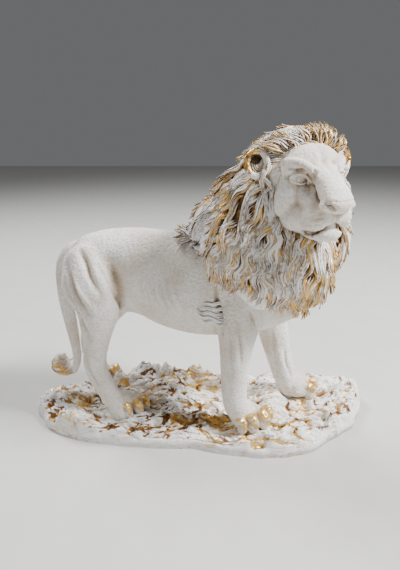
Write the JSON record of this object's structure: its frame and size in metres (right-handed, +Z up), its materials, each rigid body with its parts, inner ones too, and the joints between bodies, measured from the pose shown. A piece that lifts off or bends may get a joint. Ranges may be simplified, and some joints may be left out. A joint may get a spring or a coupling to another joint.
{
  "type": "lion figurine",
  "caption": "Standing lion with a full mane and its head turned to its right, cast in one piece with an oval rocky base.",
  "frame": {"origin": "on the underside of the rocky base, at the middle of its length and width", "axes": "+X along the base towards the end under the lion's chest, +Y to the lion's left, +Z up; the lion itself is turned 9 degrees from +X towards its right"},
  "size_m": [0.3306, 0.1425, 0.2705],
  "materials": {
    "white_paint": "matt off-white paint over cast resin, antique gold wiped into the mane, claws, tail tuft and rocks"
  },
  "bodies": {
    "root": {"lion_figurine": "white_paint"}
  },
  "joints": []
}
